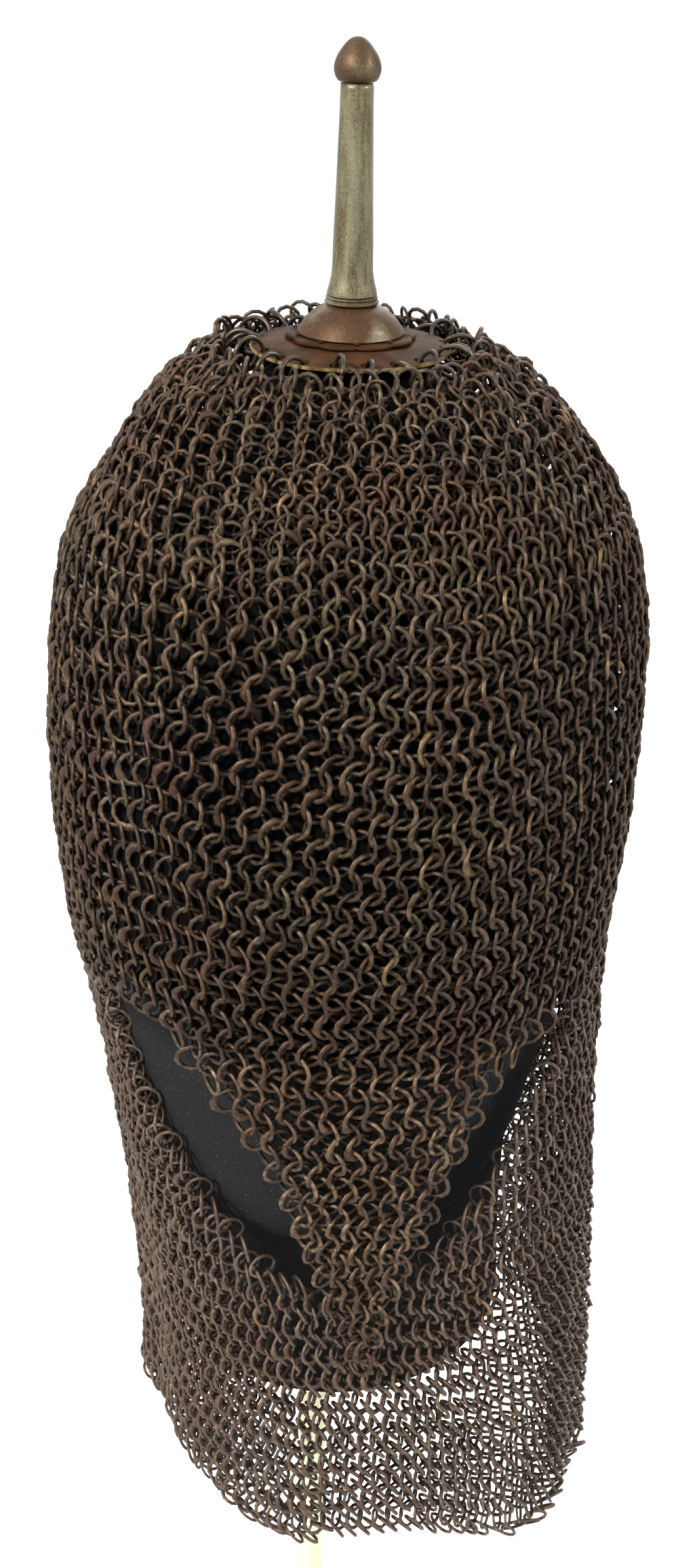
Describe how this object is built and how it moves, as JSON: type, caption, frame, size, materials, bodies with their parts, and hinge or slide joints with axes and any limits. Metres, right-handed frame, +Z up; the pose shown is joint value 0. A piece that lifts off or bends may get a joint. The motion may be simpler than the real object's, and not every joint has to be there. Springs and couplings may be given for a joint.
{
  "type": "chainmail coif on a head form stand",
  "caption": "Iron mail hood with a plume-holder crown plate, pointed face flap and neck curtain, worn by a black head form on a pole.",
  "frame": {"origin": "middle of the base's underside", "axes": "+Z up, the face of the hood looks along -Y, +X to the viewer's right"},
  "size_m": [0.216, 0.216, 0.795],
  "materials": {
    "mail": "rusty dark brown wrought iron rings with worn brassy highlights",
    "curtain_mail": "dull earthy brown wrought iron rings",
    "plate_iron": "dark brown patinated iron with a rubbed edge",
    "ring_wire": "worn grey-brown iron wire",
    "finial_metal": "grey-olive patina over brass, streaked along its length",
    "form_cloth": "matte black flock with fine dust",
    "pole_wood": "pale cream wood",
    "base_paint": "matte black paint"
  },
  "bodies": {
    "root": {"mail_crown": "mail", "mail_face_flap": "mail", "mail_curtain_left": "curtain_mail", "mail_curtain_right": "curtain_mail", "mail_curtain_back": "curtain_mail", "crown_plate": "plate_iron", "hanger_ring_01": "ring_wire", "hanger_ring_02": "ring_wire", "hanger_ring_03": "ring_wire", "hanger_ring_04": "ring_wire", "hanger_ring_05": "ring_wire", "hanger_ring_06": "ring_wire", "hanger_ring_07": "ring_wire", "hanger_ring_08": "ring_wire", "hanger_ring_09": "ring_wire", "hanger_ring_10": "ring_wire", "hanger_ring_11": "ring_wire", "hanger_ring_12": "ring_wire", "hanger_ring_13": "ring_wire", "hanger_ring_14": "ring_wire", "hanger_ring_15": "ring_wire", "hanger_ring_16": "ring_wire", "hanger_ring_17": "ring_wire", "hanger_ring_18": "ring_wire", "hanger_ring_19": "ring_wire", "hanger_ring_20": "ring_wire", "finial_flange": "plate_iron", "flange_rivet_1": "ring_wire", "flange_rivet_2": "ring_wire", "flange_rivet_3": "ring_wire", "flange_rivet_4": "ring_wire", "flange_rivet_5": "ring_wire", "flange_rivet_6": "ring_wire", "flange_rivet_7": "ring_wire", "flange_rivet_8": "ring_wire", "flange_rivet_9": "ring_wire", "flange_rivet_10": "ring_wire", "finial_bell": "finial_metal", "finial_collar": "finial_metal", "finial_stem": "finial_metal", "finial_knob": "finial_metal", "head_form": "form_cloth", "form_neck": "form_cloth", "pole": "pole_wood", "base": "base_paint"}
  },
  "joints": []
}
